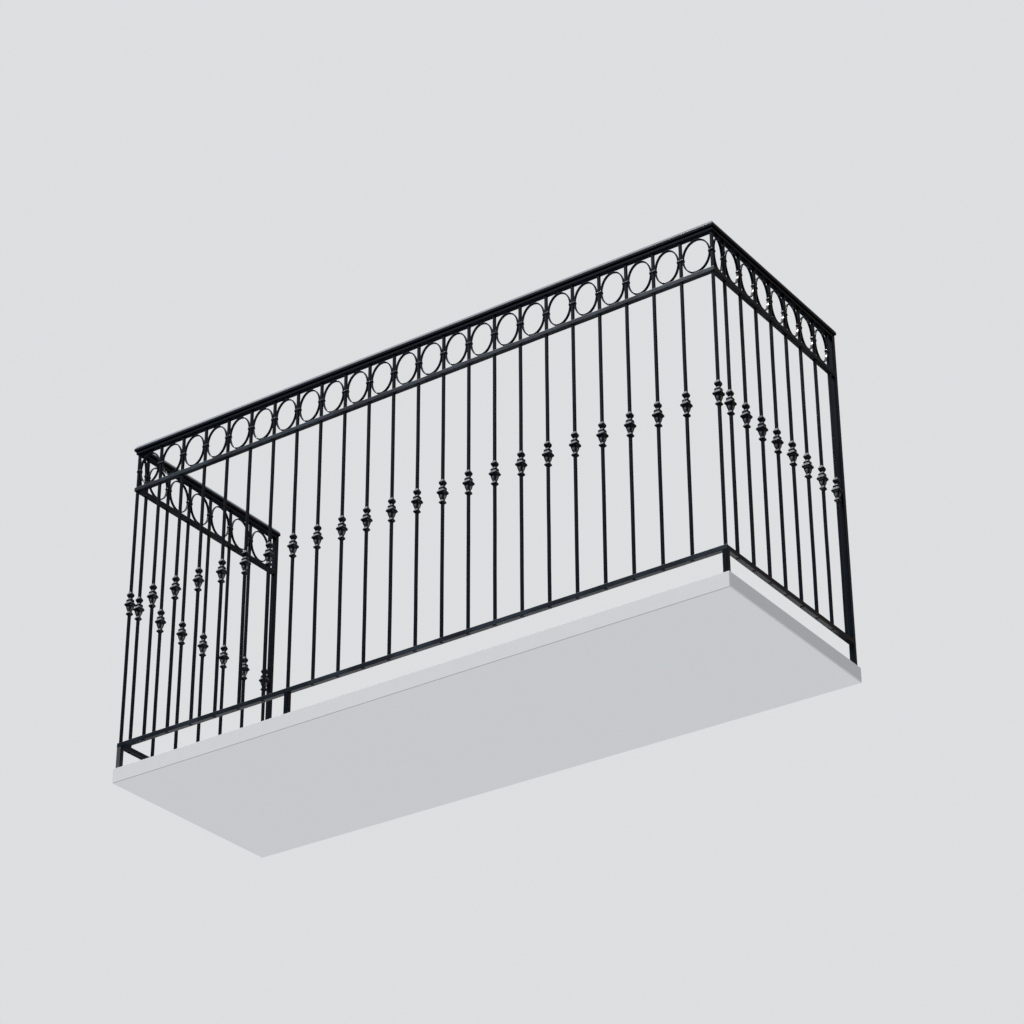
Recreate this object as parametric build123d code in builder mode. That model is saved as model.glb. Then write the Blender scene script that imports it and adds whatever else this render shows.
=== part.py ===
from build123d import *
from math import cos, pi, sin
import os

os.makedirs("parts", exist_ok=True)

# Wrought iron balcony railing, U-shaped in plan: a front run and two side
# runs that end at the wall. Millimetres, Z up, feet on z = 0. The origin is
# below the middle of the bounding box, X runs along the front, Y to the wall.

# plan
pitch = 96.0                    # bar spacing of the front run
last_space = 108.0              # wider space at the right front corner
front_spaces = 22               # equal spaces before the last one
depth = 710.0                   # corner bar centre to wall post centre
post_space = 30.0               # last side bar to wall post
right_first = 64.0
right_count = 8
left_first = 42.0
left_count = 7

# sections
bar = 8.5                       # square baluster
rail_w, rail_h = 16.0, 15.0     # bottom and middle rail
leg = 16.0                      # square leg and wall post
cap_w, cap_h = 29.0, 21.0       # handrail cap
cap_edge = 7.5                  # its upright edge
cap_slope = 7.5                 # run of the sloped shoulders above the edge
under_w, under_h = 18.0, 12.0   # flat under the cap
stud = 2.0                      # baluster end below the bottom rail

# ring frieze
ring_h = 116.0
ring_t = 4.0                    # band thickness
ring_d = 8.0                    # band depth
ring_sides = 18
ring_gap = 2.0                  # bar face to ring
ring_above = 7.0                # ring to the flat under the cap
ring_below = 3.0                # ring to the middle rail
clip_h = 9.0
clip_wall = 1.5

# levels
cap_z = 1150.0                  # underside of the cap
under_z = cap_z - under_h
ring_z = under_z - ring_above - ring_h / 2
middle_z = ring_z - ring_h / 2 - ring_below - rail_h
rail_z = 72.0                   # underside of the bottom rail

# cast knuckle
knuckle_z = 538.0

half = (front_spaces * pitch + last_space) / 2
y_front = -(depth + leg / 2 - cap_w / 2) / 2
y_post = y_front + depth
y_wall = y_post + leg / 2
y_rail_end = y_post - leg / 2
left, right = -half, half
right_pitch = (depth - right_first - post_space) / (right_count - 1)
left_pitch = (depth - left_first - post_space) / (left_count - 1)

front_x = [left + pitch * (i + 1) for i in range(front_spaces)]
right_y = [y_front + right_first + right_pitch * i for i in range(right_count)]
left_y = [y_front + left_first + left_pitch * i for i in range(left_count)]


def front_band(width):
    """Plan outline of a straight front member, mitred at both corners."""
    w = width / 2
    return [
        (left - w, y_front - w),
        (right + w, y_front - w),
        (right - w, y_front + w),
        (left + w, y_front + w),
    ]


def side_band(x, out, width, end):
    """Plan outline of a side member at x, mitred at the front; out is -1 or 1."""
    w = width / 2
    return [
        (x + out * w, y_front - w),
        (x + out * w, end),
        (x - out * w, end),
        (x - out * w, y_front + w),
    ]


def oval(width, height):
    """Corner points of an oval of ring_sides straight sides, one of them upright at each flank."""
    turn = 2 * pi / ring_sides
    reach = width / 2 / cos(turn / 2)
    angles = [turn * (i + 0.5) for i in range(ring_sides)]
    return [(reach * cos(a), height / 2 * sin(a)) for a in angles]


# rails: the balusters pass through punched square holes
front_points = [(x, y_front) for x in front_x]
right_points = [(right, y) for y in right_y]
left_points = [(left, y) for y in left_y]
corner_points = [(left, y_front), (right, y_front)]

with BuildPart() as front_bottom_rail:
    with BuildSketch(Plane.XY.offset(rail_z)):
        Polygon(*front_band(rail_w), align=None)
        with Locations(*front_points, *corner_points):
            Rectangle(bar, bar, mode=Mode.SUBTRACT)
    extrude(amount=rail_h)

with BuildPart() as right_bottom_rail:
    with BuildSketch(Plane.XY.offset(rail_z)):
        Polygon(*side_band(right, 1, rail_w, y_rail_end), align=None)
        with Locations(*right_points, *corner_points):
            Rectangle(bar, bar, mode=Mode.SUBTRACT)
    extrude(amount=rail_h)

with BuildPart() as left_bottom_rail:
    with BuildSketch(Plane.XY.offset(rail_z)):
        Polygon(*side_band(left, -1, rail_w, y_rail_end), align=None)
        with Locations(*left_points, *corner_points):
            Rectangle(bar, bar, mode=Mode.SUBTRACT)
    extrude(amount=rail_h)

with BuildPart() as front_middle_rail:
    with BuildSketch(Plane.XY.offset(middle_z)):
        Polygon(*front_band(rail_w), align=None)
        with Locations(*front_points, *corner_points):
            Rectangle(bar, bar, mode=Mode.SUBTRACT)
    extrude(amount=rail_h)

with BuildPart() as right_middle_rail:
    with BuildSketch(Plane.XY.offset(middle_z)):
        Polygon(*side_band(right, 1, rail_w, y_rail_end), align=None)
        with Locations(*right_points, *corner_points):
            Rectangle(bar, bar, mode=Mode.SUBTRACT)
    extrude(amount=rail_h)

with BuildPart() as left_middle_rail:
    with BuildSketch(Plane.XY.offset(middle_z)):
        Polygon(*side_band(left, -1, rail_w, y_rail_end), align=None)
        with Locations(*left_points, *corner_points):
            Rectangle(bar, bar, mode=Mode.SUBTRACT)
    extrude(amount=rail_h)

# handrail: a flat under-rail and a cap with sloped shoulders
with BuildPart() as front_under_rail:
    with BuildSketch(Plane.XY.offset(under_z)):
        Polygon(*front_band(under_w), align=None)
    extrude(amount=under_h)

with BuildPart() as right_under_rail:
    with BuildSketch(Plane.XY.offset(under_z)):
        Polygon(*side_band(right, 1, under_w, y_rail_end), align=None)
    extrude(amount=under_h)

with BuildPart() as left_under_rail:
    with BuildSketch(Plane.XY.offset(under_z)):
        Polygon(*side_band(left, -1, under_w, y_rail_end), align=None)
    extrude(amount=under_h)

with BuildPart() as front_handrail:
    with BuildSketch(Plane.XY.offset(cap_z)):
        Polygon(*front_band(cap_w), align=None)
    extrude(amount=cap_h)
    top = front_handrail.faces().sort_by(Axis.Z)[-1]
    chamfer(top.edges().filter_by(Axis.X), cap_slope, cap_h - cap_edge, reference=top)

with BuildPart() as right_handrail:
    with BuildSketch(Plane.XY.offset(cap_z)):
        Polygon(*side_band(right, 1, cap_w, y_wall), align=None)
    extrude(amount=cap_h)
    top = right_handrail.faces().sort_by(Axis.Z)[-1]
    chamfer(top.edges().filter_by(Axis.Y), cap_slope, cap_h - cap_edge, reference=top)

with BuildPart() as left_handrail:
    with BuildSketch(Plane.XY.offset(cap_z)):
        Polygon(*side_band(left, -1, cap_w, y_wall), align=None)
    extrude(amount=cap_h)
    top = left_handrail.faces().sort_by(Axis.Z)[-1]
    chamfer(top.edges().filter_by(Axis.Y), cap_slope, cap_h - cap_edge, reference=top)

# uprights
bar_z = rail_z - stud
low = (Align.CENTER, Align.CENTER, Align.MIN)

with BuildPart() as front_balusters:
    with Locations(*[(x, y_front, bar_z) for x in front_x]):
        Box(bar, bar, under_z - bar_z, align=low)

with BuildPart() as right_balusters:
    with Locations(*[(right, y, bar_z) for y in right_y]):
        Box(bar, bar, under_z - bar_z, align=low)

with BuildPart() as left_balusters:
    with Locations(*[(left, y, bar_z) for y in left_y]):
        Box(bar, bar, under_z - bar_z, align=low)

with BuildPart() as right_corner_bar:
    with Locations((right, y_front, rail_z)):
        Box(bar, bar, under_z - rail_z, align=low)

with BuildPart() as left_corner_bar:
    with Locations((left, y_front, rail_z)):
        Box(bar, bar, under_z - rail_z, align=low)

with BuildPart() as right_wall_post:
    with Locations((right, y_post, 0)):
        Box(leg, leg, cap_z, align=low)

with BuildPart() as left_wall_post:
    with Locations((left, y_post, 0)):
        Box(leg, leg, cap_z, align=low)

with BuildPart() as right_corner_leg:
    with Locations((right, y_front, 0)):
        Box(leg, leg, rail_z, align=low)

with BuildPart() as left_corner_leg:
    with Locations((left, y_front, 0)):
        Box(leg, leg, rail_z, align=low)

# the one leg between the corners stands under the seventh bar
middle_leg_x = front_x[6]

with BuildPart() as front_middle_leg:
    with Locations((middle_leg_x, y_front, 0)):
        Box(leg, leg, rail_z, align=low)
    with Locations((middle_leg_x, y_front, bar_z)):
        Box(bar, bar, stud, align=low, mode=Mode.SUBTRACT)

# rings: one oval of flat bar in each space, 2 mm clear of the bars
front_ring_w = pitch - bar - 2 * ring_gap
last_ring_w = last_space - bar - 2 * ring_gap
right_ring_w = right_pitch - bar - 2 * ring_gap
right_small_w = right_first - bar - 2 * ring_gap
left_ring_w = left_pitch - bar - 2 * ring_gap
left_small_w = left_first - bar - 2 * ring_gap

front_plane = Plane((0, y_front + ring_d / 2, ring_z), x_dir=(1, 0, 0), z_dir=(0, -1, 0))
right_plane = Plane((right - ring_d / 2, 0, ring_z), x_dir=(0, 1, 0), z_dir=(1, 0, 0))
left_plane = Plane((left - ring_d / 2, 0, ring_z), x_dir=(0, 1, 0), z_dir=(1, 0, 0))

with BuildPart() as front_rings:
    with BuildSketch(front_plane):
        with Locations(*[(x - pitch / 2, 0) for x in front_x]):
            Polygon(*oval(front_ring_w, ring_h))
            Polygon(*oval(front_ring_w - 2 * ring_t, ring_h - 2 * ring_t), mode=Mode.SUBTRACT)
        with Locations((right - last_space / 2, 0)):
            Polygon(*oval(last_ring_w, ring_h))
            Polygon(*oval(last_ring_w - 2 * ring_t, ring_h - 2 * ring_t), mode=Mode.SUBTRACT)
    extrude(amount=ring_d)

with BuildPart() as right_rings:
    with BuildSketch(right_plane):
        with Locations(*[(y - right_pitch / 2, 0) for y in right_y[1:]]):
            Polygon(*oval(right_ring_w, ring_h))
            Polygon(*oval(right_ring_w - 2 * ring_t, ring_h - 2 * ring_t), mode=Mode.SUBTRACT)
        with Locations((y_front + right_first / 2, 0)):
            Polygon(*oval(right_small_w, ring_h))
            Polygon(*oval(right_small_w - 2 * ring_t, ring_h - 2 * ring_t), mode=Mode.SUBTRACT)
    extrude(amount=ring_d)

with BuildPart() as left_rings:
    with BuildSketch(left_plane):
        with Locations(*[(y - left_pitch / 2, 0) for y in left_y[1:]]):
            Polygon(*oval(left_ring_w, ring_h))
            Polygon(*oval(left_ring_w - 2 * ring_t, ring_h - 2 * ring_t), mode=Mode.SUBTRACT)
        with Locations((y_front + left_first / 2, 0)):
            Polygon(*oval(left_small_w, ring_h))
            Polygon(*oval(left_small_w - 2 * ring_t, ring_h - 2 * ring_t), mode=Mode.SUBTRACT)
    extrude(amount=ring_d)

# clips: a collar round ring, bar and ring at half the ring's height
clip_reach = bar / 2 + ring_gap + ring_t + clip_wall
clip_w = 2 * clip_reach
clip_d = bar + 2 * clip_wall
end_clip = clip_reach + bar / 2 + clip_wall
end_shift = (bar / 2 + clip_wall - clip_reach) / 2

with BuildPart() as front_clips:
    with Locations(*[(x, y_front, ring_z) for x in front_x]):
        Box(clip_w, clip_d, clip_h)
    add(front_balusters.part, mode=Mode.SUBTRACT)
    add(front_rings.part, mode=Mode.SUBTRACT)

with BuildPart() as right_clips:
    with Locations(*[(right, y, ring_z) for y in right_y[:-1]]):
        Box(clip_d, clip_w, clip_h)
    with Locations((right, right_y[-1] + end_shift, ring_z)):
        Box(clip_d, end_clip, clip_h)
    add(right_balusters.part, mode=Mode.SUBTRACT)
    add(right_rings.part, mode=Mode.SUBTRACT)

with BuildPart() as left_clips:
    with Locations(*[(left, y, ring_z) for y in left_y[:-1]]):
        Box(clip_d, clip_w, clip_h)
    with Locations((left, left_y[-1] + end_shift, ring_z)):
        Box(clip_d, end_clip, clip_h)
    add(left_balusters.part, mode=Mode.SUBTRACT)
    add(left_rings.part, mode=Mode.SUBTRACT)

with BuildPart() as right_corner_clip:
    with Locations((right + end_shift, y_front, ring_z)):
        Box(end_clip, clip_d, clip_h)
    with Locations((right, y_front - end_shift, ring_z)):
        Box(clip_d, end_clip, clip_h)
    add(right_corner_bar.part, mode=Mode.SUBTRACT)
    add(front_rings.part, mode=Mode.SUBTRACT)
    add(right_rings.part, mode=Mode.SUBTRACT)

with BuildPart() as left_corner_clip:
    with Locations((left - end_shift, y_front, ring_z)):
        Box(end_clip, clip_d, clip_h)
    with Locations((left, y_front - end_shift, ring_z)):
        Box(clip_d, end_clip, clip_h)
    add(left_corner_bar.part, mode=Mode.SUBTRACT)
    add(front_rings.part, mode=Mode.SUBTRACT)
    add(left_rings.part, mode=Mode.SUBTRACT)

# knuckle: square tiers, each a height and the widths at its foot and head
collar_low = [(6.2, 9.6, 17.6), (7.3, 17.6, 13.0)]
cup = [(20.0, 13.0, 19.0)]
flange = [(2.6, 19.0, 27.4), (5.0, 27.4, 27.4), (8.9, 27.4, 18.8)]
plate = [(5.0, 18.8, 18.8), (7.5, 18.8, 12.0)]
collar_top = [(7.8, 12.0, 17.8), (6.2, 17.8, 17.8), (8.5, 17.8, 9.6)]
tiers = collar_low + cup + flange + plate + collar_top

with BuildPart() as knuckle:
    level = 0.0
    for height, foot, head in tiers:
        inset = abs(foot - head) / 2
        with Locations((0, 0, level + height / 2)):
            if foot >= head:
                far = foot - inset
                Wedge(foot, height, foot, inset, inset, far, far, rotation=(90, 0, 0))
            else:
                far = head - inset
                Wedge(head, height, head, inset, inset, far, far, rotation=(-90, 0, 0))
        level = level + height
    knuckle_h = level
    Box(bar, bar, knuckle_h, align=low, mode=Mode.SUBTRACT)

with BuildPart() as front_knuckles:
    with Locations(*[(x, y_front, knuckle_z) for x in front_x]):
        add(knuckle.part)

with BuildPart() as right_knuckles:
    with Locations(*[(right, y, knuckle_z) for y in right_y]):
        add(knuckle.part)

with BuildPart() as left_knuckles:
    with Locations(*[(left, y, knuckle_z) for y in left_y]):
        add(knuckle.part)

with BuildPart() as right_corner_knuckle:
    with Locations((right, y_front, knuckle_z)):
        add(knuckle.part)

with BuildPart() as left_corner_knuckle:
    with Locations((left, y_front, knuckle_z)):
        add(knuckle.part)

front_bottom_rail.part.label = "front_bottom_rail"
export_step(front_bottom_rail.part, "parts/front_bottom_rail.step")
right_bottom_rail.part.label = "right_bottom_rail"
export_step(right_bottom_rail.part, "parts/right_bottom_rail.step")
left_bottom_rail.part.label = "left_bottom_rail"
export_step(left_bottom_rail.part, "parts/left_bottom_rail.step")
front_middle_rail.part.label = "front_middle_rail"
export_step(front_middle_rail.part, "parts/front_middle_rail.step")
right_middle_rail.part.label = "right_middle_rail"
export_step(right_middle_rail.part, "parts/right_middle_rail.step")
left_middle_rail.part.label = "left_middle_rail"
export_step(left_middle_rail.part, "parts/left_middle_rail.step")
front_under_rail.part.label = "front_under_rail"
export_step(front_under_rail.part, "parts/front_under_rail.step")
right_under_rail.part.label = "right_under_rail"
export_step(right_under_rail.part, "parts/right_under_rail.step")
left_under_rail.part.label = "left_under_rail"
export_step(left_under_rail.part, "parts/left_under_rail.step")
front_handrail.part.label = "front_handrail"
export_step(front_handrail.part, "parts/front_handrail.step")
right_handrail.part.label = "right_handrail"
export_step(right_handrail.part, "parts/right_handrail.step")
left_handrail.part.label = "left_handrail"
export_step(left_handrail.part, "parts/left_handrail.step")
front_balusters.part.label = "front_balusters"
export_step(front_balusters.part, "parts/front_balusters.step")
right_balusters.part.label = "right_balusters"
export_step(right_balusters.part, "parts/right_balusters.step")
left_balusters.part.label = "left_balusters"
export_step(left_balusters.part, "parts/left_balusters.step")
right_corner_bar.part.label = "right_corner_bar"
export_step(right_corner_bar.part, "parts/right_corner_bar.step")
left_corner_bar.part.label = "left_corner_bar"
export_step(left_corner_bar.part, "parts/left_corner_bar.step")
right_wall_post.part.label = "right_wall_post"
export_step(right_wall_post.part, "parts/right_wall_post.step")
left_wall_post.part.label = "left_wall_post"
export_step(left_wall_post.part, "parts/left_wall_post.step")
right_corner_leg.part.label = "right_corner_leg"
export_step(right_corner_leg.part, "parts/right_corner_leg.step")
left_corner_leg.part.label = "left_corner_leg"
export_step(left_corner_leg.part, "parts/left_corner_leg.step")
front_middle_leg.part.label = "front_middle_leg"
export_step(front_middle_leg.part, "parts/front_middle_leg.step")
front_rings.part.label = "front_rings"
export_step(front_rings.part, "parts/front_rings.step")
right_rings.part.label = "right_rings"
export_step(right_rings.part, "parts/right_rings.step")
left_rings.part.label = "left_rings"
export_step(left_rings.part, "parts/left_rings.step")
front_clips.part.label = "front_clips"
export_step(front_clips.part, "parts/front_clips.step")
right_clips.part.label = "right_clips"
export_step(right_clips.part, "parts/right_clips.step")
left_clips.part.label = "left_clips"
export_step(left_clips.part, "parts/left_clips.step")
right_corner_clip.part.label = "right_corner_clip"
export_step(right_corner_clip.part, "parts/right_corner_clip.step")
left_corner_clip.part.label = "left_corner_clip"
export_step(left_corner_clip.part, "parts/left_corner_clip.step")
front_knuckles.part.label = "front_knuckles"
export_step(front_knuckles.part, "parts/front_knuckles.step")
right_knuckles.part.label = "right_knuckles"
export_step(right_knuckles.part, "parts/right_knuckles.step")
left_knuckles.part.label = "left_knuckles"
export_step(left_knuckles.part, "parts/left_knuckles.step")
right_corner_knuckle.part.label = "right_corner_knuckle"
export_step(right_corner_knuckle.part, "parts/right_corner_knuckle.step")
left_corner_knuckle.part.label = "left_corner_knuckle"
export_step(left_corner_knuckle.part, "parts/left_corner_knuckle.step")
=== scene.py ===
import math

import bmesh
import bpy
from mathutils import Matrix, Vector, noise


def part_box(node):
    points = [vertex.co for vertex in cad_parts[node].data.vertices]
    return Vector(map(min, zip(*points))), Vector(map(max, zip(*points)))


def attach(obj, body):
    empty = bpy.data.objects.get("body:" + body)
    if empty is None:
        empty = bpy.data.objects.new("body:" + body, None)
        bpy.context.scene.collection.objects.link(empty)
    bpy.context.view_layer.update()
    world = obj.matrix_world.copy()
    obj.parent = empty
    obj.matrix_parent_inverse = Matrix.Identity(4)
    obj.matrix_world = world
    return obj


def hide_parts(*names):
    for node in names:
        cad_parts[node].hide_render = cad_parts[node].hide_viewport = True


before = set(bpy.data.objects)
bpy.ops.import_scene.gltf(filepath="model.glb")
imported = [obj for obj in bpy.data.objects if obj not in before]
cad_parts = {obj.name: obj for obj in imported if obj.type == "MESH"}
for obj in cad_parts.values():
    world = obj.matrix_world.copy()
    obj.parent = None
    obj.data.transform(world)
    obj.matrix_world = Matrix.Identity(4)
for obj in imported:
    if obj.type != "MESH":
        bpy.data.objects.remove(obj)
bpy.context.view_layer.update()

MM = 0.001
UP = Vector((0, 0, 1))
ACROSS = Vector((1, 0, 0))
INWARD = Vector((0, 1, 0))


# ---------------------------------------------------------------- sizes read from the frame
def middle(node):
    """Centre of a frame node."""
    low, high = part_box(node)
    return (low + high) / 2


def spread(node):
    """Width, depth and height of a frame node."""
    low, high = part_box(node)
    return high - low


bar = spread("right_corner_bar").x
leg = spread("right_corner_leg").x
left_x = middle("left_corner_bar").x
right_x = middle("right_corner_bar").x
front_y = middle("right_corner_bar").y
post_y = middle("right_wall_post").y
wall_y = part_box("right_handrail")[1].y
rail_end_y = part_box("right_bottom_rail")[1].y

FRONT_BARS, RIGHT_BARS, LEFT_BARS = 22, 8, 7


def even_steps(first, last, count):
    """Positions spaced evenly from first to last."""
    return [first + (last - first) * i / (count - 1) for i in range(count)]


def bar_places(node, axis, count):
    """Bar centres of one run along an axis, from the box of its balusters."""
    low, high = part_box(node)
    return even_steps(low[axis] + bar / 2, high[axis] - bar / 2, count)


front_bar_x = bar_places("front_balusters", 0, FRONT_BARS)
right_bar_y = bar_places("right_balusters", 1, RIGHT_BARS)
left_bar_y = bar_places("left_balusters", 1, LEFT_BARS)


# ---------------------------------------------------------------- shader arithmetic
# Places of outputs and sockets on their nodes.
GENERATED, OBJECT_SPACE = 0, 3
SURFACE_NORMAL = 1
ATTRIBUTE_NUMBER = 2
MIX_SHARE, MIX_FIRST, MIX_SECOND, MIX_RESULT = 0, 6, 7, 2


class Value:
    """A shader socket that takes part in plain sums and products."""

    def __init__(self, finish, socket):
        self.finish = finish
        self.socket = socket

    def maths(self, operation, *values):
        """A Math node on these values."""
        return self.finish.node("ShaderNodeMath", {"operation": operation}, dict(enumerate(values)))

    def __add__(self, other):
        return self.maths("ADD", self, other)

    __radd__ = __add__

    def __sub__(self, other):
        return self.maths("SUBTRACT", self, other)

    def __rsub__(self, other):
        return self.maths("SUBTRACT", other, self)

    def __mul__(self, other):
        return self.maths("MULTIPLY", self, other)

    __rmul__ = __mul__

    def ramp(self, low, high):
        """0 below low, 1 above high, smooth between."""
        return self.finish.node(
            "ShaderNodeMapRange",
            {"interpolation_type": "SMOOTHSTEP"},
            {"Value": self, "From Min": low, "From Max": high},
        )


class Finish:
    """A material, or the world, under construction."""

    def __init__(self, owner):
        owner.use_nodes = True
        self.owner = owner
        self.tree = owner.node_tree
        self.tree.nodes.clear()

    def node(self, kind, settings=None, values=None, output=0):
        """Adds a node: its settings first, then the values or links of its sockets."""
        made = self.tree.nodes.new(kind)
        for name, setting in (settings or {}).items():
            setattr(made, name, setting)
        for name, value in (values or {}).items():
            if isinstance(value, Value):
                self.tree.links.new(value.socket, made.inputs[name])
            else:
                made.inputs[name].default_value = value
        return Value(self, made.outputs[output]) if len(made.outputs) else None

    def noise(self, place, scale, detail=2.0, roughness=0.5):
        """Cloudy noise from 0 to 1; scale is in clouds a metre."""
        values = {"Vector": place, "Scale": scale, "Detail": detail, "Roughness": roughness}
        return self.node("ShaderNodeTexNoise", None, values)

    def mix(self, share, first, second):
        """Colour between first and second."""
        values = {MIX_SHARE: share, MIX_FIRST: first, MIX_SECOND: second}
        return self.node("ShaderNodeMix", {"data_type": "RGBA"}, values, MIX_RESULT)

    def weight(self, name):
        """A number painted on the mesh."""
        return self.node("ShaderNodeAttribute", {"attribute_name": name}, None, ATTRIBUTE_NUMBER)

    def place(self):
        """Where a point lies on the object."""
        return self.node("ShaderNodeTexCoord", None, None, OBJECT_SPACE)

    def direction(self):
        """Where a ray goes, for the world."""
        return self.node("ShaderNodeTexCoord", None, None, GENERATED)

    def split(self, vector):
        """The three parts of a vector."""
        apart = self.node("ShaderNodeSeparateXYZ", None, {0: vector})
        return [Value(self, out) for out in apart.socket.node.outputs]

    def seen_by(self, kind):
        """1 for rays of one kind, such as Camera or Glossy."""
        return self.node("ShaderNodeLightPath", None, None, f"Is {kind} Ray")

    def facing(self):
        """X, Y and Z of the surface normal."""
        return self.split(self.node("ShaderNodeNewGeometry", None, None, SURFACE_NORMAL))

    def bump(self, height, strength, distance, below=None):
        """Normal roughened by height, over the bump below it."""
        values = {"Strength": strength, "Distance": distance, "Height": height}
        if below is not None:
            values["Normal"] = below
        return self.node("ShaderNodeBump", None, values)

    def surface(self, **values):
        """The closing shader; names are its sockets' with _ for a space."""
        sockets = {name.replace("_", " "): value for name, value in values.items()}
        shader = self.node("ShaderNodeBsdfPrincipled", None, sockets)
        self.node("ShaderNodeOutputMaterial", None, {"Surface": shader})
        return self.owner


def colour(red, green, blue):
    """A colour in linear light."""
    return (red, green, blue, 1.0)


# ---------------------------------------------------------------- finishes
ENAMEL_DARK, ENAMEL_LIGHT = colour(0.0035, 0.0063, 0.0125), colour(0.006, 0.010, 0.020)
# Chalk tone, bluish as painted sky light on the lit front faces.
SKY_LIT_CHALK = colour(0.066, 0.088, 0.114)
GREY_CHALK = colour(0.125, 0.120, 0.130)
# Warmer chalk for undersides: painted bounce light from the floor.
SHADED_CHALK = colour(0.115, 0.100, 0.088)
# Painted highlight for sloped shoulders.
SHOULDER_HIGHLIGHT = colour(0.215, 0.230, 0.255)
WORN_ARRIS = colour(0.130, 0.155, 0.190)
TOP_DUST = colour(0.160, 0.158, 0.156)

CASTING_DARK, CASTING_LIGHT = colour(0.005, 0.008, 0.013), colour(0.009, 0.012, 0.018)
# Leaf tones: a lighter grey and pale bronzed colours, partly a bronzed tint and partly a painted
# highlight on the raised leaf.
LEAF_HIGHLIGHT_GREY = colour(0.145, 0.155, 0.170)
PALE_BRONZE_HIGHLIGHT, YELLOW_BRONZE_HIGHLIGHT = colour(0.700, 0.660, 0.560), colour(0.520, 0.500, 0.400)
CASTING_ARRIS = colour(0.090, 0.094, 0.100)
# Pale ledge dust that is also a painted highlight on the bevels.
LEDGE_DUST_AND_HIGHLIGHT = colour(0.290, 0.290, 0.300)

FLOOR_DARK, FLOOR_LIGHT = colour(0.70, 0.69, 0.67), colour(0.76, 0.75, 0.73)
FLOOR_SIDE_GLOW, FLOOR_UNDER_GLOW = colour(0.27, 0.275, 0.28), colour(0.53, 0.54, 0.55)
NO_GLOW = colour(0.0, 0.0, 0.0)


def black_enamel(name, wear_and_light, shoulder=0.0, chalk=SKY_LIT_CHALK):
    """Gloss blue-black enamel on iron, dusty on top.

    Wear makes it chalky, with painted light in the chalk: it is strongest on faces to the front,
    painted as a sky-lit side, and on faces below, painted as warm bounce light from the floor;
    shoulder paints a pale highlight on sloped faces and gives them a gloss coat.
    """
    paint = Finish(bpy.data.materials.new(name))
    place = paint.place()
    cloudy = paint.noise(place, scale=9.0, detail=3.0)
    fine = paint.noise(place, scale=160.0, detail=3.0, roughness=0.6)
    peel = paint.noise(place, scale=420.0)
    patchy = paint.noise(place, scale=24.0, detail=3.0, roughness=0.6)
    _, facing_in, facing_up = paint.facing()
    dust = facing_up.ramp(0.30, 0.80) * (0.45 + fine * 0.6)
    worn = paint.weight("arris") * patchy.ramp(0.40, 0.75)
    base = paint.mix(cloudy.ramp(0.3, 0.7), ENAMEL_DARK, ENAMEL_LIGHT)
    if wear_and_light:
        # Chalk all over, and more on faces to the front (a painted sky-lit side) and on faces below,
        # where the warmer shaded chalk is painted bounce light from the floor.
        below = (facing_up * -1.0).ramp(0.2, 0.8)
        chalk_and_painted_light = 0.3 + (facing_in * -1.0).ramp(0.2, 0.8) * 0.7 + below * 0.5
        chalk_and_bounce_tone = paint.mix(below, chalk, SHADED_CHALK)
        base = paint.mix((0.25 + cloudy.ramp(0.40, 0.65) * 0.75) * chalk_and_painted_light * wear_and_light, base, chalk_and_bounce_tone)
    base = paint.mix(dust * 0.35, base, TOP_DUST)
    highlight_and_coat = 0.0
    if shoulder:
        # Painted highlight: faces sloped upward, such as the handrail's nose, are painted pale where
        # the light would glint on them, and given a gloss coat.
        slope = facing_up.ramp(0.20, 0.42) * (1.0 - facing_up.ramp(0.75, 0.95))
        highlight_and_coat = slope * (0.8 + fine * 0.3) * shoulder
        base = paint.mix(highlight_and_coat, base, SHOULDER_HIGHLIGHT)
    base = paint.mix(worn * (0.15 + 0.5 * wear_and_light), base, WORN_ARRIS)
    waves = paint.bump(cloudy, strength=0.20, distance=1.0 * MM)
    ripple = paint.bump(peel, strength=0.03, distance=0.2 * MM, below=waves)
    gloss = 0.14 + 0.16 * wear_and_light + cloudy * 0.05 + dust * 0.2
    return paint.surface(
        Base_Color=base, Roughness=gloss, Normal=ripple, Coat_Weight=highlight_and_coat, Coat_Roughness=0.1
    )


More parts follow.
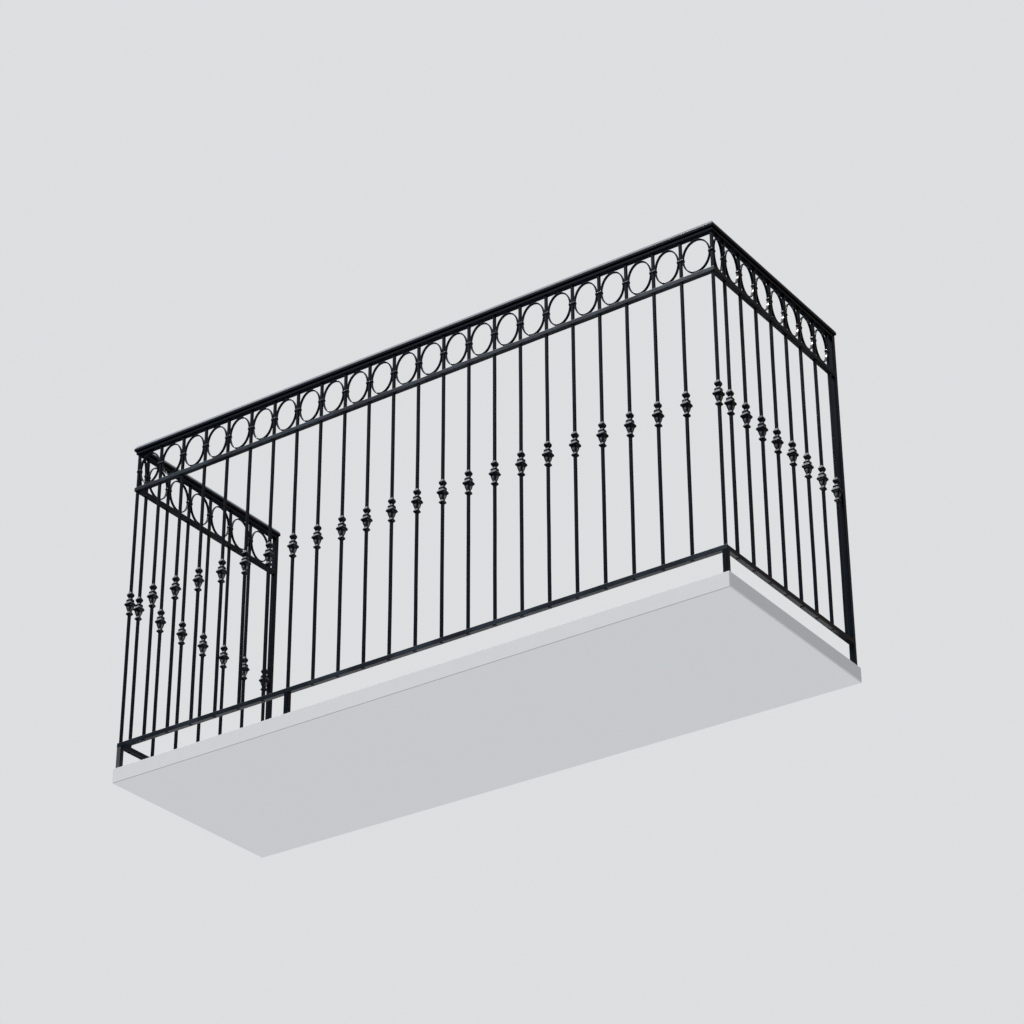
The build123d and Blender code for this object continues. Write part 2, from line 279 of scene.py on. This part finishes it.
def casting_enamel(name):
    """The same enamel on sand castings: grainier, dusty on ledges with the dust also a painted
    highlight on the bevels, and the raised leaf painted lighter grey and bronzed, partly a bronzed
    tint and partly a painted highlight, most on faces to the right as painted light.
    """
    paint = Finish(bpy.data.materials.new(name))
    place = paint.place()
    sand = paint.noise(place, scale=520.0, detail=3.0, roughness=0.7)
    patch = paint.noise(place, scale=70.0, detail=3.0)
    leaf = paint.weight("leaf")
    facing_right, _, facing_up = paint.facing()
    # Dust on upward ledges, pale enough to also be a painted highlight where the key light would
    # glint on the bevels.
    dust = facing_up.ramp(0.20, 0.42) * (0.55 + patch * 0.7)
    # The bronzed colour is strongest on faces to the right, painted warm light from that side; the
    # lighter grey and pale bronzed leaf are partly a painted highlight.
    rubbed_and_lit_right = 0.38 + facing_right.ramp(0.3, 0.8) * 0.62
    bronze_and_highlight = leaf.ramp(0.40, 0.80) * (0.5 + patch.ramp(0.35, 0.60) * 0.5) * rubbed_and_lit_right
    worn = paint.weight("arris") * patch.ramp(0.45, 0.65)
    base = paint.mix(patch.ramp(0.3, 0.7), CASTING_DARK, CASTING_LIGHT)
    base = paint.mix(leaf.ramp(0.10, 0.60), base, LEAF_HIGHLIGHT_GREY)
    bronze_highlight_tone = paint.mix(sand.ramp(0.4, 0.6), PALE_BRONZE_HIGHLIGHT, YELLOW_BRONZE_HIGHLIGHT)
    base = paint.mix(bronze_and_highlight, base, bronze_highlight_tone)
    base = paint.mix(dust * 0.75, base, LEDGE_DUST_AND_HIGHLIGHT)
    base = paint.mix(worn * 0.25, base, CASTING_ARRIS)
    grain = paint.bump(sand, strength=0.15, distance=0.3 * MM)
    gloss = 0.18 + sand * 0.08 + dust * 0.45
    return paint.surface(Base_Color=base, Roughness=gloss, Normal=grain)


def pale_floor(name):
    """Plain pale floor; its sides and underside stay pale to the camera, which can stand below it."""
    stone = Finish(bpy.data.materials.new(name))
    speckle = stone.noise(stone.place(), scale=30.0, detail=4.0)
    tone = stone.mix(speckle, FLOOR_DARK, FLOOR_LIGHT)
    facing_up = stone.facing()[2]
    unlit = (1.0 - facing_up.ramp(0.2, 0.8)) * stone.seen_by("Camera")
    glow = stone.mix((facing_up * -1.0).ramp(0.2, 0.8), FLOOR_SIDE_GLOW, FLOOR_UNDER_GLOW)
    glow = stone.mix(unlit, NO_GLOW, glow)
    return stone.surface(Base_Color=tone, Roughness=0.8, Emission_Color=glow, Emission_Strength=1.0)


enamel = black_enamel("black_enamel", wear_and_light=0.0)
# Variants with painted light: a painted highlight on sloped shoulders (handrail, clips, rails), and
# chalk that is stronger on front faces and undersides as a painted lit side and painted bounce light.
shoulder_highlight_enamel = black_enamel("black_enamel_shoulder_highlight", wear_and_light=0.0, shoulder=0.85)
half_chalked_lit_enamel = black_enamel("black_enamel_half_chalked_lit", wear_and_light=0.5, shoulder=0.3)
chalked_lit_enamel = black_enamel("black_enamel_chalked_lit", wear_and_light=1.0, shoulder=0.8)
faded_lit_enamel = black_enamel("black_enamel_faded_lit", wear_and_light=2.6, chalk=GREY_CHALK)
casting = casting_enamel("casting_enamel")


# ---------------------------------------------------------------- shapes
QUARTER_TURN = math.radians(90)


def rounded_outline(width, height, arris, steps=3):
    """Outline of a rectangle with rounded arrises: (across, up, arris weight) points."""
    points = []
    for turn in range(4):
        x_sign = 1 if turn in (0, 3) else -1
        y_sign = 1 if turn in (0, 1) else -1
        for step in range(steps + 1):
            angle = QUARTER_TURN * (turn + step / steps)
            points.append((
                x_sign * (width / 2 - arris) + arris * math.cos(angle),
                y_sign * (height / 2 - arris) + arris * math.sin(angle),
                0.0 if step in (0, steps) else 1.0,
            ))
    return points


SHOULDER_STEPS = 7


def handrail_outline(width, height, edge, shoulder):
    """Handrail section: flat underside, upright edge, sloped and crowned shoulders, flat top."""
    foot, head, side = -height / 2, height / 2, width / 2
    # (across, up, arris weight), up one side from the underside's corner
    points = [
        (side - 0.6 * MM, foot, 0.0),
        (side - 0.2 * MM, foot + 0.5 * MM, 0.0),
        (side, foot + edge - 0.7 * MM, 0.0),
    ]
    for step in range(SHOULDER_STEPS + 1):
        share = step / SHOULDER_STEPS
        crown = 0.2 * MM * math.sin(math.pi * share)
        points.append((
            side - 0.35 * MM - (shoulder - 0.8 * MM) * share + crown * 0.9,
            foot + edge + 0.2 * MM + (height - edge - 1.0 * MM) * share + crown * 0.4,
            0.5 if share < 0.1 else 0.0,
        ))
    points.append((side - shoulder - 0.8 * MM, head, 0.4))
    mirrored = [(-x, y, weight) for x, y, weight in reversed(points)]
    return points + mirrored


def weight_layer(bm, name):
    """The mesh's layer of painted numbers with this name."""
    return bm.verts.layers.float.get(name) or bm.verts.layers.float.new(name)


def skin(bm, rows, closed=False):
    """Joins rows of vertices by faces; a run that isn't closed gets flat ends."""
    count = len(rows[0])
    pairs = list(zip(rows, rows[1:]))
    if closed:
        pairs.append((rows[-1], rows[0]))
    for near, far in pairs:
        for i in range(count):
            j = (i + 1) % count
            bm.faces.new((near[i], near[j], far[j], far[i]))
    if not closed:
        bm.faces.new(list(reversed(rows[0])))
        bm.faces.new(rows[-1])


def strip(bm, rings, weights, closed=False):
    """A length of section from rings of points, with the arris weight of each point in a ring."""
    arris = weight_layer(bm, "arris")
    rows = []
    for points in rings:
        row = []
        for point, weight in zip(points, weights):
            vertex = bm.verts.new(point)
            vertex[arris] = weight
            row.append(vertex)
        rows.append(row)
    skin(bm, rows, closed)


BEND_SEED = 11
BENDS_PER_METRE = 6.0
noise.seed_set(BEND_SEED)


def wander(place, amount):
    """A small seeded offset, the same each run, for hand-straightened iron."""
    return noise.noise_vector(place * BENDS_PER_METRE) * amount


def member(bm, outline, start, end, across, up, slopes, step, sway):
    """A straight length of section, a station each step; slopes mitre its ends, sway bends it."""
    axis = (end - start).normalized()
    stations = max(1, round((end - start).length / step))
    rings = []
    for station in range(stations + 1):
        along = station / stations
        fade = min(1.0, 8 * along, 8 * (1 - along))  # straight at both ends
        shift = wander(start.lerp(end, along), sway * fade)
        centre = start.lerp(end, along) + shift - axis * shift.dot(axis)
        slope = slopes[0] * (1 - along) + slopes[1] * along
        rings.append([centre + across * x + up * y + axis * slope * x for x, y, _ in outline])
    strip(bm, rings, [w for _, _, w in outline])


def piece(bm, name, nodes, material, crease=35):
    """Closes a bmesh into an object that rides on the railing and stands for frame nodes."""
    bmesh.ops.recalc_face_normals(bm, faces=bm.faces)
    mesh = bpy.data.meshes.new(name)
    bm.to_mesh(mesh)
    bm.free()
    mesh.polygons.foreach_set("use_smooth", [True] * len(mesh.polygons))
    mesh.set_sharp_from_angle(angle=math.radians(crease))
    mesh.materials.append(material)
    made = bpy.data.objects.new(name, mesh)
    bpy.context.scene.collection.objects.link(made)
    even = made.modifiers.new("even_light", "WEIGHTED_NORMAL")
    even.keep_sharp = True
    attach(made, "root")
    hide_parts(*nodes)


# ---------------------------------------------------------------- rails and handrail
RAIL_STEP = 20 * MM
MITRE, SQUARE_END = 1, 0


def u_member(part, outline, level, ends_y, sway, paint):
    """Front, right and left lengths of one rail, mitred at both front corners."""
    for side in ("front", "right", "left"):
        bm = bmesh.new()
        if side == "front":
            start, end = Vector((left_x, front_y, level)), Vector((right_x, front_y, level))
            across, slopes = -INWARD, (-MITRE, MITRE)
        else:
            x, across = (right_x, ACROSS) if side == "right" else (left_x, -ACROSS)
            start, end = Vector((x, front_y, level)), Vector((x, ends_y, level))
            slopes = (-MITRE, SQUARE_END)
        member(bm, outline, start, end, across, UP, slopes, RAIL_STEP, sway)
        piece(bm, f"{side}_{part}_painted", [f"{side}_{part}"], paint)


def flat_rail(part, arris, sway, paint):
    """The three lengths of a rail of plain bar."""
    size = spread(f"right_{part}")
    outline = rounded_outline(size.x, size.z, arris)
    u_member(part, outline, middle(f"right_{part}").z, rail_end_y, sway, paint)


flat_rail("bottom_rail", arris=1.1 * MM, sway=0.25 * MM, paint=half_chalked_lit_enamel)
flat_rail("middle_rail", arris=1.7 * MM, sway=0.25 * MM, paint=chalked_lit_enamel)
flat_rail("under_rail", arris=1.0 * MM, sway=0.2 * MM, paint=enamel)

cap = spread("right_handrail")
CAP_EDGE, CAP_SHOULDER = 8.6 * MM, 7.5 * MM
cap_outline = handrail_outline(cap.x, cap.z, CAP_EDGE, CAP_SHOULDER)
cap_level = middle("right_handrail").z
u_member("handrail", cap_outline, cap_level, wall_y, sway=0.0, paint=shoulder_highlight_enamel)


# ---------------------------------------------------------------- bars, posts and legs
UPRIGHT_STEP = 45 * MM
BAR_SWAY, CORNER_BAR_SWAY = 0.45 * MM, 0.3 * MM

bar_outline = rounded_outline(bar, bar, arris=0.7 * MM)
post_outline = rounded_outline(leg, leg, arris=1.2 * MM)


def uprights(node, outline, places, sway=0.0, paint=enamel):
    """The upright bars, posts or legs of one frame node, each over the node's full height."""
    low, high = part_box(node)
    bm = bmesh.new()
    for x, y in places:
        foot, head = Vector((x, y, low.z)), Vector((x, y, high.z))
        member(bm, outline, foot, head, ACROSS, INWARD, (SQUARE_END, SQUARE_END), UPRIGHT_STEP, sway)
    piece(bm, f"{node}_painted", [node], paint)


front_places = [(x, front_y) for x in front_bar_x]
right_places = [(right_x, y) for y in right_bar_y]
left_places = [(left_x, y) for y in left_bar_y]
right_corner = [(right_x, front_y)]
left_corner = [(left_x, front_y)]

uprights("front_balusters", bar_outline, front_places, BAR_SWAY)
uprights("right_balusters", bar_outline, right_places, BAR_SWAY)
uprights("left_balusters", bar_outline, left_places, BAR_SWAY)
uprights("right_corner_bar", bar_outline, right_corner, CORNER_BAR_SWAY)
uprights("left_corner_bar", bar_outline, left_corner, CORNER_BAR_SWAY)
uprights("right_wall_post", post_outline, [(right_x, post_y)])
uprights("left_wall_post", post_outline, [(left_x, post_y)])
uprights("right_corner_leg", post_outline, right_corner)
uprights("left_corner_leg", post_outline, left_corner, paint=faded_lit_enamel)
uprights("front_middle_leg", post_outline, [(middle("front_middle_leg").x, front_y)])


# ---------------------------------------------------------------- rings
RING_THICK = 4.0 * MM
RING_GAP = 2.0 * MM
RING_STEPS = 56
ring_depth = spread("front_rings").y
ring_height = spread("front_rings").z
ring_z = middle("front_rings").z


def ring(bm, centre, width, across):
    """One oval of flat bar; across is its width direction."""
    band = rounded_outline(RING_THICK, ring_depth, arris=0.8 * MM)
    through = across.cross(UP)
    rings = []
    for i in range(RING_STEPS):
        angle = 2 * math.pi * i / RING_STEPS
        row = []
        for inset, side, _ in band:
            reach = RING_THICK / 2 - inset
            out = across * (math.cos(angle) * (width / 2 - reach))
            up = UP * (math.sin(angle) * (ring_height / 2 - reach))
            row.append(centre + out + up + through * side)
        rings.append(row)
    strip(bm, rings, [w for _, _, w in band], closed=True)


def ring_row(node, along, fixed, stops):
    """A ring in each space between neighbouring stops."""
    bm = bmesh.new()
    for near, far in zip(stops, stops[1:]):
        spot = (near + far) / 2
        centre = Vector((spot, fixed, ring_z)) if along is ACROSS else Vector((fixed, spot, ring_z))
        ring(bm, centre, far - near - bar - 2 * RING_GAP, along)
    piece(bm, f"{node}_painted", [node], enamel)


ring_row("front_rings", ACROSS, front_y, [left_x, *front_bar_x, right_x])
ring_row("right_rings", INWARD, right_x, [front_y, *right_bar_y])
ring_row("left_rings", INWARD, left_x, [front_y, *left_bar_y])


# ---------------------------------------------------------------- clips
clip_height = spread("front_clips").z
clip_depth = spread("front_clips").y
clip_reach = spread("front_clips").x / 2 - (front_bar_x[-1] - front_bar_x[0]) / 2
half_clip = clip_depth / 2

# Share of the height from the middle, and how far the sides stand back there in mm.
CLIP_LEVELS = [(-0.5, 1.1), (-0.42, 0.4), (-0.25, 0.0), (0.2, 0.0), (0.38, 0.5), (0.5, 1.5)]
CLIP_CORNER = 1.6 * MM
CLIP_CORNER_STEPS = 4
CLIP_WEAR = 0.35
CLIP_CREASE = 40


def clip(bm, x, y, low_x, high_x, low_y, high_y):
    """A collar drawn round ring, bar and ring: a crowned strip with rounded corners."""
    centre = Vector((x + (low_x + high_x) / 2, y + (low_y + high_y) / 2, ring_z))
    width, depth = high_x - low_x, high_y - low_y
    rings = []
    for share, inset in CLIP_LEVELS:
        back = 2 * inset * MM
        outline = rounded_outline(width - back, depth - back, CLIP_CORNER, CLIP_CORNER_STEPS)
        rings.append([centre + Vector((px, py, share * clip_height)) for px, py, _ in outline])
    strip(bm, rings, [CLIP_WEAR] * len(outline))


def clip_row(node, places, low_x, high_x, low_y, high_y, last=None):
    """A clip on each bar of a run; last is where the one beside the wall post stops."""
    bm = bmesh.new()
    for i, (x, y) in enumerate(places):
        stop_y = last if last is not None and i == len(places) - 1 else high_y
        clip(bm, x, y, low_x, high_x, low_y, stop_y)
    piece(bm, f"{node}_painted", [node], shoulder_highlight_enamel, CLIP_CREASE)


clip_row("front_clips", front_places, -clip_reach, clip_reach, -half_clip, half_clip)
clip_row("right_clips", right_places, -half_clip, half_clip, -clip_reach, clip_reach, half_clip)
clip_row("left_clips", left_places, -half_clip, half_clip, -clip_reach, clip_reach, half_clip)

for side, x, low_x, high_x in (
    ("right", right_x, -clip_reach, half_clip),
    ("left", left_x, -half_clip, clip_reach),
):
    bm = bmesh.new()
    clip(bm, x, front_y, low_x, high_x, -half_clip, half_clip)
    clip(bm, x, front_y, -half_clip, half_clip, -half_clip, clip_reach)
    node = f"{side}_corner_clip"
    piece(bm, f"{node}_painted", [node], shoulder_highlight_enamel, CLIP_CREASE)


# ---------------------------------------------------------------- cast knuckles
knuckle_foot, knuckle_head = (corner.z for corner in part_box("right_corner_knuckle"))
knuckle_tall = knuckle_head - knuckle_foot

# Height above the foot and width across the sides, in mm.
KNUCKLE_LEVELS = [
    (0.0, 9.6), (5.1, 18.1), (7.5, 18.1), (13.8, 10.8), (16.0, 11.0),
    (24.0, 16.6), (33.5, 20.1), (35.6, 24.5), (38.0, 28.1), (41.1, 28.3), (49.7, 17.9),
    (50.3, 18.2), (51.7, 19.6), (55.8, 19.6), (62.3, 10.2), (64.3, 10.5),
    (70.5, 17.4), (73.5, 18.7), (76.3, 18.7), (85.0, 9.6),
]
CUP_FOOT, CUP_HEAD = 13.8, 33.5
CUP_STEP = 1.4

# Each corner of the outline is cut back this far, in mm, and by this share of a run at most.
CORNER_CUT, CUT_LIMIT = 0.4, 0.4
END_WEAR = 0.5

SIDE_STEPS = 12
ARRIS_REACH, ARRIS_WEAR = 0.94, 0.7
KNUCKLE_CREASE = 22


def softened(levels, cut):
    """The same outline with each corner cut back a little."""
    soft = [levels[0] + (END_WEAR,)]
    for before, here, after in zip(levels, levels[1:], levels[2:]):
        for other in (before, after):
            run = math.dist(here, other)
            share = min(CUT_LIMIT, cut / run)
            soft.append(tuple(a + (b - a) * share for a, b in zip(here, other)) + (1.0,))
    soft.append(levels[-1] + (END_WEAR,))
    return soft


def leaf_relief(u, v):
    """How far the cup's leaf stands out in mm, and its share.

    u runs from -1 to 1 across a side and v from 0 to 1 up the cup.
    """
    swell = math.sin(math.pi * min(1.0, v * 1.08)) ** 0.7 if v < 0.92 else 0.3
    lobe = 0.5 + 0.5 * math.cos(math.pi * u)
    groove = math.exp(-((abs(u) - 0.75) / 0.15) ** 2)
    vein = math.exp(-(u / 0.10) ** 2)
    scallop = 0.25 * math.sin(9 * math.pi * v + 3 * abs(u))
    return swell * (0.9 * lobe - 0.7 * groove - 0.25 * vein + scallop * lobe), swell * lobe


def knuckle_rings():
    """Vertex rings of one knuckle about the origin, with arris and leaf weights."""
    levels = softened(KNUCKLE_LEVELS, CORNER_CUT)
    fine = []
    for here, after in zip(levels, levels[1:]):
        fine.append(here)
        run = after[0] - here[0]
        if here[0] >= CUP_FOOT - 1 and after[0] <= CUP_HEAD + 1:
            count = max(1, round(run / CUP_STEP))
            for i in range(1, count):
                share = i / count
                fine.append((here[0] + run * share, here[1] + (after[1] - here[1]) * share, 0.0))
    fine.append(levels[-1])
    rings = []
    for z, width, arris in fine:
        v = (z - CUP_FOOT) / (CUP_HEAD - CUP_FOOT)
        in_cup = 0.04 < v < 0.97
        row = []
        for turn in range(4):
            spin = Matrix.Rotation(QUARTER_TURN * turn, 3, "Z")
            for i in range(SIDE_STEPS):
                u = -1 + 2 * i / SIDE_STEPS
                stand, leaf = leaf_relief(u, v) if in_cup else (0.0, 0.0)
                reach = (width / 2 + stand) * (ARRIS_REACH if i == 0 else 1.0)
                point = Vector((reach, reach * u, z))
                edge = max(arris, ARRIS_WEAR if i == 0 else 0.0) if not in_cup else 0.0
                row.append((spin @ point, edge, leaf))
        rings.append(row)
    return rings


KNUCKLE = knuckle_rings()


def knuckle(bm, x, y):
    """One casting, threaded on its bar."""
    arris, leaf = weight_layer(bm, "arris"), weight_layer(bm, "leaf")
    scale = knuckle_tall / (KNUCKLE_LEVELS[-1][0] * MM)
    rows = []
    for ring_points in KNUCKLE:
        row = []
        for point, edge, raised in ring_points:
            vertex = bm.verts.new((
                x + point.x * MM, y + point.y * MM, knuckle_foot + point.z * MM * scale
            ))
            vertex[arris] = edge
            vertex[leaf] = raised
            row.append(vertex)
        rows.append(row)
    skin(bm, rows)


def knuckle_row(node, places):
    """The castings of one frame node."""
    bm = bmesh.new()
    for x, y in places:
        knuckle(bm, x, y)
    piece(bm, f"{node}_cast", [node], casting, KNUCKLE_CREASE)


knuckle_row("front_knuckles", front_places)
knuckle_row("right_knuckles", right_places)
knuckle_row("left_knuckles", left_places)
knuckle_row("right_corner_knuckle", right_corner)
knuckle_row("left_corner_knuckle", left_corner)


# ---------------------------------------------------------------- floor, light and camera
SLAB_THICK = 50 * MM
# How far the slab reaches past the feet at the sides and the back, and at the front.
SLAB_ROUND_FEET, SLAB_BEFORE_FEET = 7 * MM, 4 * MM
SLAB_ARRIS = 2 * MM


def floor_slab():
    """Plain pale floor, cut short at the feet because the camera stands below it."""
    bm = bmesh.new()
    beside = leg / 2 + SLAB_ROUND_FEET
    low = Vector((left_x - beside, front_y - leg / 2 - SLAB_BEFORE_FEET, -SLAB_THICK))
    high = Vector((right_x + beside, wall_y + SLAB_ROUND_FEET, 0.0))
    bmesh.ops.create_cube(bm, size=1.0)
    for vertex in bm.verts:
        share = vertex.co + Vector((0.5, 0.5, 0.5))
        vertex.co = Vector([low[k] + (high[k] - low[k]) * share[k] for k in range(3)])
    bmesh.ops.bevel(bm, geom=bm.edges[:], offset=SLAB_ARRIS, segments=2, affect="EDGES")
    mesh = bpy.data.meshes.new("floor")
    bm.to_mesh(mesh)
    bm.free()
    mesh.materials.append(pale_floor("pale_floor"))
    made = bpy.data.objects.new("floor", mesh)
    bpy.context.scene.collection.objects.link(made)


floor_slab()


SKY_LIGHT = colour(0.60, 0.75, 0.98)
SHADE_LIGHT, WARM_LIGHT = colour(0.038, 0.050, 0.070), colour(0.132, 0.110, 0.094)
BACKDROP = colour(0.72, 0.735, 0.75)


def studio_world():
    """Pale backdrop; cool soft light from above and a faint warmer one from the back right."""
    world = bpy.data.worlds.new("studio")
    bpy.context.scene.world = world
    sky = Finish(world)
    to_x, to_y, to_z = sky.split(sky.direction())
    overhead = (to_z * 0.98 - to_x * 0.15 - to_y * 0.10).ramp(0.55, 0.95)
    warm = (to_x * 0.6 + to_y * 0.8).ramp(0.3, 0.9)
    low = sky.mix(warm, SHADE_LIGHT, WARM_LIGHT)
    lit = sky.mix(overhead, low, SKY_LIGHT)
    seen = sky.seen_by("Camera") + sky.seen_by("Transmission") + sky.seen_by("Glossy") * overhead
    tone = sky.mix(seen, lit, BACKDROP)
    glow = sky.node("ShaderNodeBackground", None, {"Color": tone, "Strength": 1.0})
    sky.node("ShaderNodeOutputWorld", None, {"Surface": glow})


studio_world()


def lamp(name, direction, strength, softness, tint):
    """A distant lamp that shines along direction; softness is its width in degrees."""
    data = bpy.data.lights.new(name, "SUN")
    data.energy = strength
    data.angle = math.radians(softness)
    data.color = tint
    made = bpy.data.objects.new(name, data)
    made.rotation_mode = "QUATERNION"
    made.rotation_quaternion = Vector(direction).to_track_quat("-Z", "Y")
    bpy.context.scene.collection.objects.link(made)


lamp("key", direction=(0.31, 0.41, -0.86), strength=2.7, softness=12, tint=(1.0, 0.98, 0.95))

# Metres, radians and pixels, fitted to the photo.
CAMERA_AT = Vector((4.6499, -6.4513, -3.7728))
HEADING, PITCH, ROLL = -0.60944, 0.51413, -0.00521
FOCAL_PIXELS = 2908.0
IMAGE_PIXELS = 1024.0

SENSOR_WIDTH = 36.0


def photo_camera():
    """The photo's viewing angle, without a shift."""
    data = bpy.data.cameras.new("camera")
    data.sensor_width = SENSOR_WIDTH
    data.lens = FOCAL_PIXELS * SENSOR_WIDTH / IMAGE_PIXELS
    data.clip_start, data.clip_end = 0.1, 100.0
    made = bpy.data.objects.new("camera", data)
    forward = Vector((
        math.sin(HEADING) * math.cos(PITCH), math.cos(HEADING) * math.cos(PITCH), math.sin(PITCH)
    ))
    right = Vector((math.cos(HEADING), -math.sin(HEADING), 0.0))
    above = right.cross(forward)
    rolled_right = right * math.cos(ROLL) + above * math.sin(ROLL)
    rolled_above = above * math.cos(ROLL) - right * math.sin(ROLL)
    turn = Matrix((rolled_right, rolled_above, -forward)).transposed()
    made.matrix_world = Matrix.Translation(CAMERA_AT) @ turn.to_4x4()
    bpy.context.scene.collection.objects.link(made)
    bpy.context.scene.camera = made


photo_camera()
bpy.context.scene.view_settings.view_transform = "Standard"
